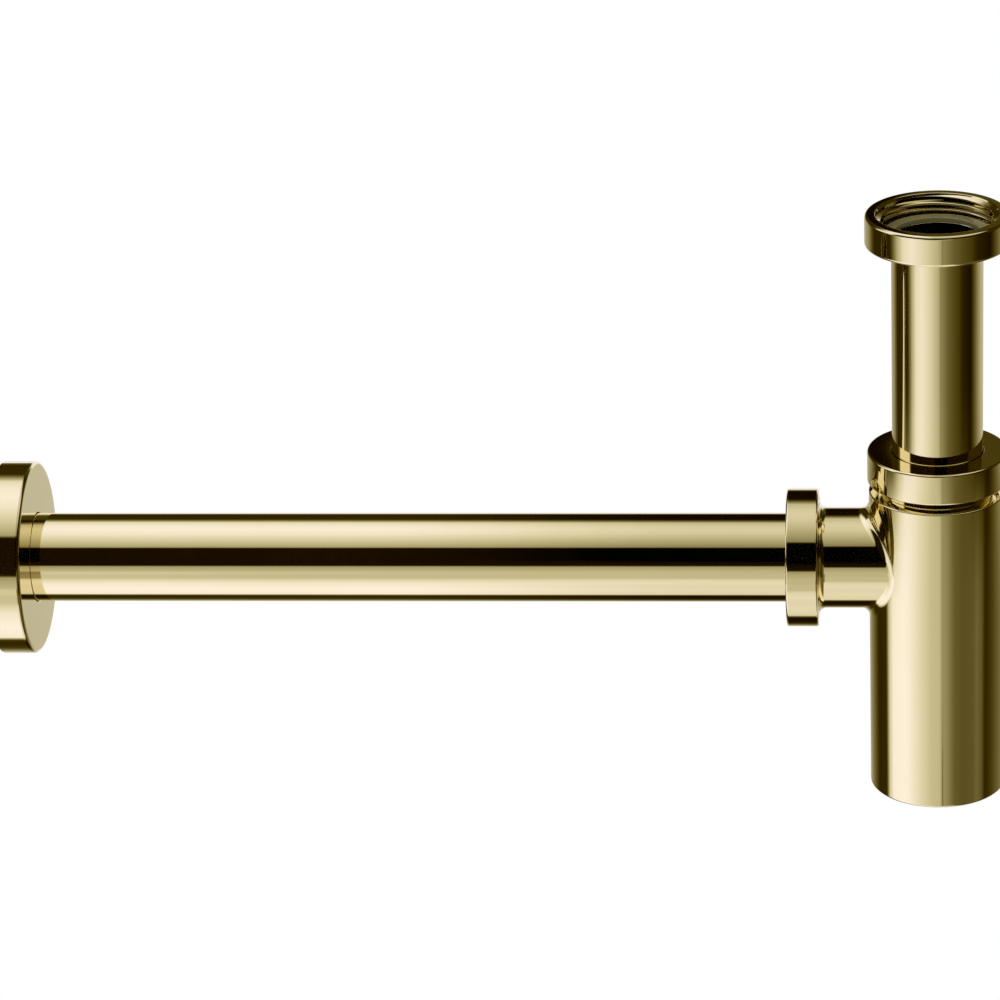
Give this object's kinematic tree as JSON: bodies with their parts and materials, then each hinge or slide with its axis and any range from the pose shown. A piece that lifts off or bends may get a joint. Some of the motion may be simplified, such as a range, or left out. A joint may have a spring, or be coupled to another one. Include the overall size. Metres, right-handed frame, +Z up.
{
  "type": "basin bottle trap",
  "caption": "Polished brass basin bottle trap: telescopic inlet tube with union nut, cup with water seal, side outlet tube held by a compression nut, and a sliding wall flange.",
  "frame": {"origin": "centre of the inlet washer's upper face, where the end of the basin waste seats", "axes": "+Z up along the inlet tube, outlet tube along -X towards the wall, +Y away from the camera of the picture"},
  "size_m": [0.4032, 0.0698, 0.2175],
  "materials": {
    "polished_brass": "mirror polished, pale yellow",
    "seal_rubber": "matte black rubber",
    "washer_rubber": "translucent silicone, taking the colour of the brass round it",
    "ring_plastic": "smooth white plastic"
  },
  "bodies": {
    "inlet_nut": {"inlet_nut": "polished_brass"},
    "inlet_washer": {"inlet_washer": "washer_rubber"},
    "inlet_tube": {"inlet_tube": "polished_brass"},
    "trap_body": {"trap_body": "polished_brass", "cap_seal": "seal_rubber", "outlet_seal": "seal_rubber"},
    "cap_slip_ring": {"cap_slip_ring": "ring_plastic"},
    "cap_nut": {"cap_nut": "polished_brass"},
    "outlet_slip_ring": {"outlet_slip_ring": "ring_plastic"},
    "outlet_nut": {"outlet_nut": "polished_brass"},
    "outlet_tube": {"outlet_tube": "polished_brass"},
    "wall_flange": {"wall_flange": "polished_brass", "flange_o_ring": "seal_rubber"}
  },
  "joints": [
    {"name": "inlet_nut_slide", "type": "slide", "parent": "inlet_nut", "child": "inlet_washer", "axis": [0, 0, 1], "range_m": [0, 0.05]},
    {"name": "inlet_swivel", "type": "hinge", "parent": "inlet_washer", "child": "inlet_tube", "pos_m": [0, 0, 0], "axis": [0, 0, 1], "continuous": true},
    {"name": "height_slide", "type": "slide", "parent": "inlet_tube", "child": "trap_body", "axis": [0, 0, 1], "range_m": [-0.04, 0.014]},
    {"name": "cap_nut_turn", "type": "hinge", "parent": "trap_body", "child": "cap_slip_ring", "pos_m": [0, 0, -0.0927], "axis": [0, 0, 1], "range_deg": [0, 1080]},
    {"name": "cap_nut_lift", "type": "slide", "parent": "cap_slip_ring", "child": "cap_nut", "axis": [0, 0, 1], "range_m": [0, 0.00694]},
    {"name": "outlet_nut_turn", "type": "hinge", "parent": "trap_body", "child": "outlet_slip_ring", "pos_m": [-0.0421, 0, -0.1229], "axis": [-1, 0, 0], "range_deg": [0, 1080]},
    {"name": "outlet_nut_travel", "type": "slide", "parent": "outlet_slip_ring", "child": "outlet_nut", "axis": [-1, 0, 0], "range_m": [0, 0.00694]},
    {"name": "outlet_tube_slide", "type": "slide", "parent": "trap_body", "child": "outlet_tube", "axis": [-1, 0, 0], "range_m": [-0.008, 0.015]},
    {"name": "wall_flange_slide", "type": "slide", "parent": "outlet_tube", "child": "wall_flange", "axis": [1, 0, 0], "range_m": [-0.03, 0.24]}
  ],
  "couplings": [
    {"joint": "cap_nut_lift", "follows": "cap_nut_turn", "m_per_rad": 0.00036749},
    {"joint": "outlet_nut_travel", "follows": "outlet_nut_turn", "m_per_rad": 0.00036749}
  ]
}
